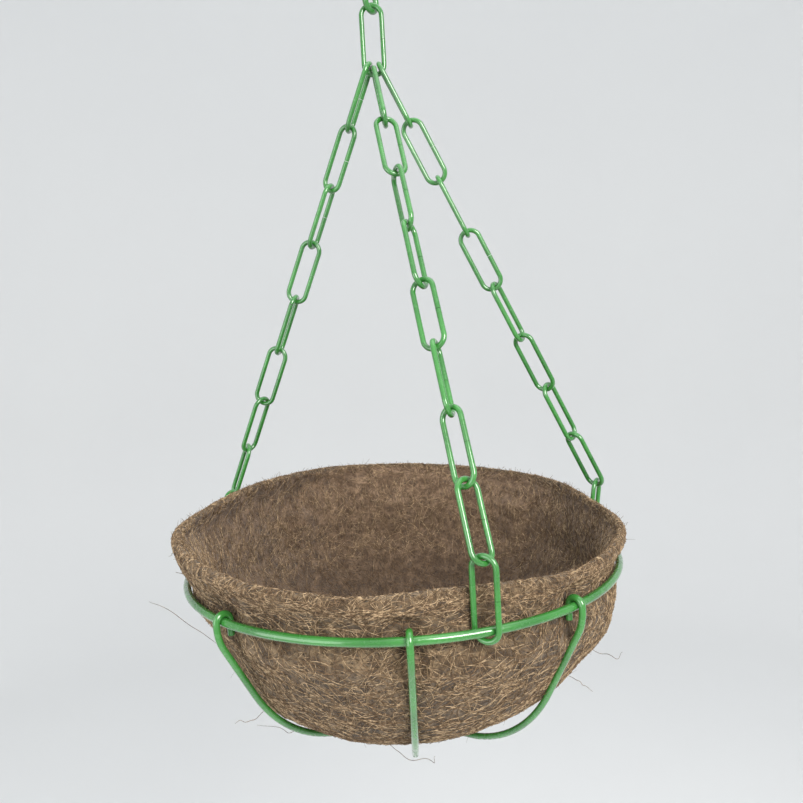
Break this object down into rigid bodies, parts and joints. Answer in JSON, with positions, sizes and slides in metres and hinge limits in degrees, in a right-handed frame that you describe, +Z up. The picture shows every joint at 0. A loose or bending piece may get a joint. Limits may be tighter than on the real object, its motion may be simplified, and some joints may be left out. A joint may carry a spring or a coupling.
{
  "type": "hanging basket",
  "caption": "Round wire hanging basket with a coir liner, hung from a hook by long-link chains that meet at a gathering link",
  "frame": {"origin": "inside of the hook's top bend, where it rests on its support; hanging_hook", "axes": "+Z up, -Y towards the front of the basket, +X to its right; in metres"},
  "size_m": [0.309, 0.3102, 0.5526],
  "materials": {
    "green_enamel": "gloss",
    "coir": "rough natural fibre"
  },
  "bodies": {
    "hook": {"top_hook": "green_enamel"},
    "gather_link": {"gather_link": "green_enamel"},
    "basket_frame": {"rim_ring": "green_enamel", "left_rib": "green_enamel", "centre_rib": "green_enamel", "right_rib": "green_enamel"},
    "liner": {"coir_liner": "coir"},
    "left_chain_link_1": {"left_chain_link_1": "green_enamel"},
    "left_chain_link_2": {"left_chain_link_2": "green_enamel"},
    "left_chain_link_3": {"left_chain_link_3": "green_enamel"},
    "left_chain_link_4": {"left_chain_link_4": "green_enamel"},
    "left_chain_link_5": {"left_chain_link_5": "green_enamel"},
    "left_chain_link_6": {"left_chain_link_6": "green_enamel"},
    "left_chain_link_7": {"left_chain_link_7": "green_enamel"},
    "left_chain_link_8": {"left_chain_link_8": "green_enamel"},
    "left_chain_link_9": {"left_chain_link_9": "green_enamel"},
    "front_chain_link_1": {"front_chain_link_1": "green_enamel"},
    "front_chain_link_2": {"front_chain_link_2": "green_enamel"},
    "front_chain_link_3": {"front_chain_link_3": "green_enamel"},
    "front_chain_link_4": {"front_chain_link_4": "green_enamel"},
    "front_chain_link_5": {"front_chain_link_5": "green_enamel"},
    "front_chain_link_6": {"front_chain_link_6": "green_enamel"},
    "front_chain_link_7": {"front_chain_link_7": "green_enamel"},
    "front_chain_link_8": {"front_chain_link_8": "green_enamel"},
    "front_chain_link_9": {"front_chain_link_9": "green_enamel"},
    "right_chain_link_1": {"right_chain_link_1": "green_enamel"},
    "right_chain_link_2": {"right_chain_link_2": "green_enamel"},
    "right_chain_link_3": {"right_chain_link_3": "green_enamel"},
    "right_chain_link_4": {"right_chain_link_4": "green_enamel"},
    "right_chain_link_5": {"right_chain_link_5": "green_enamel"},
    "right_chain_link_6": {"right_chain_link_6": "green_enamel"},
    "right_chain_link_7": {"right_chain_link_7": "green_enamel"},
    "right_chain_link_8": {"right_chain_link_8": "green_enamel"},
    "right_chain_link_9": {"right_chain_link_9": "green_enamel"}
  },
  "joints": [
    {"name": "hook_swing", "type": "hinge", "parent": "hook", "child": "gather_link", "pos_m": [0, 0, -0.061], "axis": [0.5, 0.866, 0], "range_deg": [-35, 35]},
    {"name": "basket_swing", "type": "hinge", "parent": "gather_link", "child": "basket_frame", "pos_m": [0, 0, -0.1025], "axis": [1, 0, 0], "range_deg": [-12, 12]},
    {"name": "liner_lift", "type": "slide", "parent": "basket_frame", "child": "liner", "axis": [0, 0, 1], "range_m": [0, 0.006]},
    {"name": "left_chain_sway", "type": "hinge", "parent": "basket_frame", "child": "left_chain_link_1", "pos_m": [-0.0029, -0.00095, -0.0953], "axis": [-0.4669, -0.8843, 0], "range_deg": [-4, 4], "stiffness_Nm_per_rad": 4, "springref_deg": -0.74},
    {"name": "left_link_2_turn", "type": "hinge", "parent": "left_chain_link_1", "child": "left_chain_link_2", "pos_m": [-0.01988, 0.00801, -0.13433], "axis": [-0.4669, -0.8843, 0], "range_deg": [-1.2, 1.2], "stiffness_Nm_per_rad": 1, "springref_deg": -2.31},
    {"name": "left_link_3_turn", "type": "hinge", "parent": "left_chain_link_2", "child": "left_chain_link_3", "pos_m": [-0.03615, 0.01661, -0.17175], "axis": [-0.4669, -0.8843, 0], "range_deg": [-1.2, 1.2], "stiffness_Nm_per_rad": 1, "springref_deg": -1.76},
    {"name": "left_link_4_turn", "type": "hinge", "parent": "left_chain_link_3", "child": "left_chain_link_4", "pos_m": [-0.05242, 0.0252, -0.20917], "axis": [-0.4669, -0.8843, 0], "range_deg": [-1.2, 1.2], "stiffness_Nm_per_rad": 1, "springref_deg": -1.28},
    {"name": "left_link_5_turn", "type": "hinge", "parent": "left_chain_link_4", "child": "left_chain_link_5", "pos_m": [-0.0687, 0.03379, -0.24658], "axis": [-0.4669, -0.8843, 0], "range_deg": [-1.2, 1.2], "stiffness_Nm_per_rad": 1, "springref_deg": -0.88},
    {"name": "left_link_6_turn", "type": "hinge", "parent": "left_chain_link_5", "child": "left_chain_link_6", "pos_m": [-0.08497, 0.04238, -0.284], "axis": [-0.4669, -0.8843, 0], "range_deg": [-1.2, 1.2], "stiffness_Nm_per_rad": 1, "springref_deg": -0.54},
    {"name": "left_link_7_turn", "type": "hinge", "parent": "left_chain_link_6", "child": "left_chain_link_7", "pos_m": [-0.10124, 0.05097, -0.32142], "axis": [-0.4669, -0.8843, 0], "range_deg": [-1.2, 1.2], "stiffness_Nm_per_rad": 1, "springref_deg": -0.29},
    {"name": "left_link_8_turn", "type": "hinge", "parent": "left_chain_link_7", "child": "left_chain_link_8", "pos_m": [-0.11752, 0.05956, -0.35883], "axis": [-0.4669, -0.8843, 0], "range_deg": [-1.2, 1.2], "stiffness_Nm_per_rad": 1, "springref_deg": -0.1},
    {"name": "left_link_9_turn", "type": "hinge", "parent": "left_chain_link_8", "child": "left_chain_link_9", "pos_m": [-0.1342, 0.06838, -0.39599], "axis": [-0.4669, -0.8843, 0], "range_deg": [-4.1, 4.1], "stiffness_Nm_per_rad": 1, "springref_deg": 0.01},
    {"name": "front_chain_sway", "type": "hinge", "parent": "basket_frame", "child": "front_chain_link_1", "pos_m": [0, 0, -0.1025], "axis": [0.9563, 0.2924, 0], "range_deg": [-4, 4], "stiffness_Nm_per_rad": 4, "springref_deg": -0.73},
    {"name": "front_link_2_turn", "type": "hinge", "parent": "front_chain_link_1", "child": "front_chain_link_2", "pos_m": [0.00522, -0.01706, -0.13801], "axis": [0.9563, 0.2924, 0], "range_deg": [-1.2, 1.2], "stiffness_Nm_per_rad": 1, "springref_deg": -2.33},
    {"name": "front_link_3_turn", "type": "hinge", "parent": "front_chain_link_2", "child": "front_chain_link_3", "pos_m": [0.01063, -0.03476, -0.17486], "axis": [0.9563, 0.2924, 0], "range_deg": [-1.2, 1.2], "stiffness_Nm_per_rad": 1, "springref_deg": -1.77},
    {"name": "front_link_4_turn", "type": "hinge", "parent": "front_chain_link_3", "child": "front_chain_link_4", "pos_m": [0.01604, -0.05245, -0.2117], "axis": [0.9563, 0.2924, 0], "range_deg": [-1.2, 1.2], "stiffness_Nm_per_rad": 1, "springref_deg": -1.29},
    {"name": "front_link_5_turn", "type": "hinge", "parent": "front_chain_link_4", "child": "front_chain_link_5", "pos_m": [0.02145, -0.07015, -0.24855], "axis": [0.9563, 0.2924, 0], "range_deg": [-1.2, 1.2], "stiffness_Nm_per_rad": 1, "springref_deg": -0.89},
    {"name": "front_link_6_turn", "type": "hinge", "parent": "front_chain_link_5", "child": "front_chain_link_6", "pos_m": [0.02686, -0.08785, -0.28539], "axis": [0.9563, 0.2924, 0], "range_deg": [-1.2, 1.2], "stiffness_Nm_per_rad": 1, "springref_deg": -0.56},
    {"name": "front_link_7_turn", "type": "hinge", "parent": "front_chain_link_6", "child": "front_chain_link_7", "pos_m": [0.03227, -0.10554, -0.32223], "axis": [0.9563, 0.2924, 0], "range_deg": [-1.2, 1.2], "stiffness_Nm_per_rad": 1, "springref_deg": -0.3},
    {"name": "front_link_8_turn", "type": "hinge", "parent": "front_chain_link_7", "child": "front_chain_link_8", "pos_m": [0.03768, -0.12324, -0.35908], "axis": [0.9563, 0.2924, 0], "range_deg": [-1.2, 1.2], "stiffness_Nm_per_rad": 1, "springref_deg": -0.11},
    {"name": "front_link_9_turn", "type": "hinge", "parent": "front_chain_link_8", "child": "front_chain_link_9", "pos_m": [0.04324, -0.14143, -0.39588], "axis": [0.9563, 0.2924, 0], "range_deg": [-4.1, 4.1], "stiffness_Nm_per_rad": 1},
    {"name": "right_chain_sway", "type": "hinge", "parent": "basket_frame", "child": "right_chain_link_1", "pos_m": [0.00295, 0.0005, -0.0953], "axis": [-0.2261, 0.9741, 0], "range_deg": [-4, 4], "stiffness_Nm_per_rad": 4, "springref_deg": -0.74},
    {"name": "right_link_2_turn", "type": "hinge", "parent": "right_chain_link_1", "child": "right_chain_link_2", "pos_m": [0.02185, 0.00489, -0.13432], "axis": [-0.2261, 0.9741, 0], "range_deg": [-1.2, 1.2], "stiffness_Nm_per_rad": 1, "springref_deg": -2.33},
    {"name": "right_link_3_turn", "type": "hinge", "parent": "right_chain_link_2", "child": "right_chain_link_3", "pos_m": [0.04, 0.0091, -0.17179], "axis": [-0.2261, 0.9741, 0], "range_deg": [-1.2, 1.2], "stiffness_Nm_per_rad": 1, "springref_deg": -1.77},
    {"name": "right_link_4_turn", "type": "hinge", "parent": "right_chain_link_3", "child": "right_chain_link_4", "pos_m": [0.05815, 0.01331, -0.20927], "axis": [-0.2261, 0.9741, 0], "range_deg": [-1.2, 1.2], "stiffness_Nm_per_rad": 1, "springref_deg": -1.29},
    {"name": "right_link_5_turn", "type": "hinge", "parent": "right_chain_link_4", "child": "right_chain_link_5", "pos_m": [0.0763, 0.01752, -0.24674], "axis": [-0.2261, 0.9741, 0], "range_deg": [-1.2, 1.2], "stiffness_Nm_per_rad": 1, "springref_deg": -0.88},
    {"name": "right_link_6_turn", "type": "hinge", "parent": "right_chain_link_5", "child": "right_chain_link_6", "pos_m": [0.09445, 0.02174, -0.28421], "axis": [-0.2261, 0.9741, 0], "range_deg": [-1.2, 1.2], "stiffness_Nm_per_rad": 1, "springref_deg": -0.54},
    {"name": "right_link_7_turn", "type": "hinge", "parent": "right_chain_link_6", "child": "right_chain_link_7", "pos_m": [0.1126, 0.02595, -0.32168], "axis": [-0.2261, 0.9741, 0], "range_deg": [-1.2, 1.2], "stiffness_Nm_per_rad": 1, "springref_deg": -0.29},
    {"name": "right_link_8_turn", "type": "hinge", "parent": "right_chain_link_7", "child": "right_chain_link_8", "pos_m": [0.13075, 0.03016, -0.35916], "axis": [-0.2261, 0.9741, 0], "range_deg": [-1.2, 1.2], "stiffness_Nm_per_rad": 1, "springref_deg": -0.1},
    {"name": "right_link_9_turn", "type": "hinge", "parent": "right_chain_link_8", "child": "right_chain_link_9", "pos_m": [0.14939, 0.03449, -0.39629], "axis": [-0.2261, 0.9741, 0], "range_deg": [-4.1, 4.1], "stiffness_Nm_per_rad": 1, "springref_deg": 0.01}
  ],
  "couplings": [
    {"joint": "left_link_2_turn", "follows": "left_chain_sway", "ratio": -0.28571},
    {"joint": "left_link_3_turn", "follows": "left_chain_sway", "ratio": -0.28571},
    {"joint": "left_link_4_turn", "follows": "left_chain_sway", "ratio": -0.28571},
    {"joint": "left_link_5_turn", "follows": "left_chain_sway", "ratio": -0.28571},
    {"joint": "left_link_6_turn", "follows": "left_chain_sway", "ratio": -0.28571},
    {"joint": "left_link_7_turn", "follows": "left_chain_sway", "ratio": -0.28571},
    {"joint": "left_link_8_turn", "follows": "left_chain_sway", "ratio": -0.28571},
    {"joint": "left_link_9_turn", "follows": "left_chain_sway", "ratio": 1},
    {"joint": "front_link_2_turn", "follows": "front_chain_sway", "ratio": -0.28571},
    {"joint": "front_link_3_turn", "follows": "front_chain_sway", "ratio": -0.28571},
    {"joint": "front_link_4_turn", "follows": "front_chain_sway", "ratio": -0.28571},
    {"joint": "front_link_5_turn", "follows": "front_chain_sway", "ratio": -0.28571},
    {"joint": "front_link_6_turn", "follows": "front_chain_sway", "ratio": -0.28571},
    {"joint": "front_link_7_turn", "follows": "front_chain_sway", "ratio": -0.28571},
    {"joint": "front_link_8_turn", "follows": "front_chain_sway", "ratio": -0.28571},
    {"joint": "front_link_9_turn", "follows": "front_chain_sway", "ratio": 1},
    {"joint": "right_link_2_turn", "follows": "right_chain_sway", "ratio": -0.28571},
    {"joint": "right_link_3_turn", "follows": "right_chain_sway", "ratio": -0.28571},
    {"joint": "right_link_4_turn", "follows": "right_chain_sway", "ratio": -0.28571},
    {"joint": "right_link_5_turn", "follows": "right_chain_sway", "ratio": -0.28571},
    {"joint": "right_link_6_turn", "follows": "right_chain_sway", "ratio": -0.28571},
    {"joint": "right_link_7_turn", "follows": "right_chain_sway", "ratio": -0.28571},
    {"joint": "right_link_8_turn", "follows": "right_chain_sway", "ratio": -0.28571},
    {"joint": "right_link_9_turn", "follows": "right_chain_sway", "ratio": 1}
  ]
}
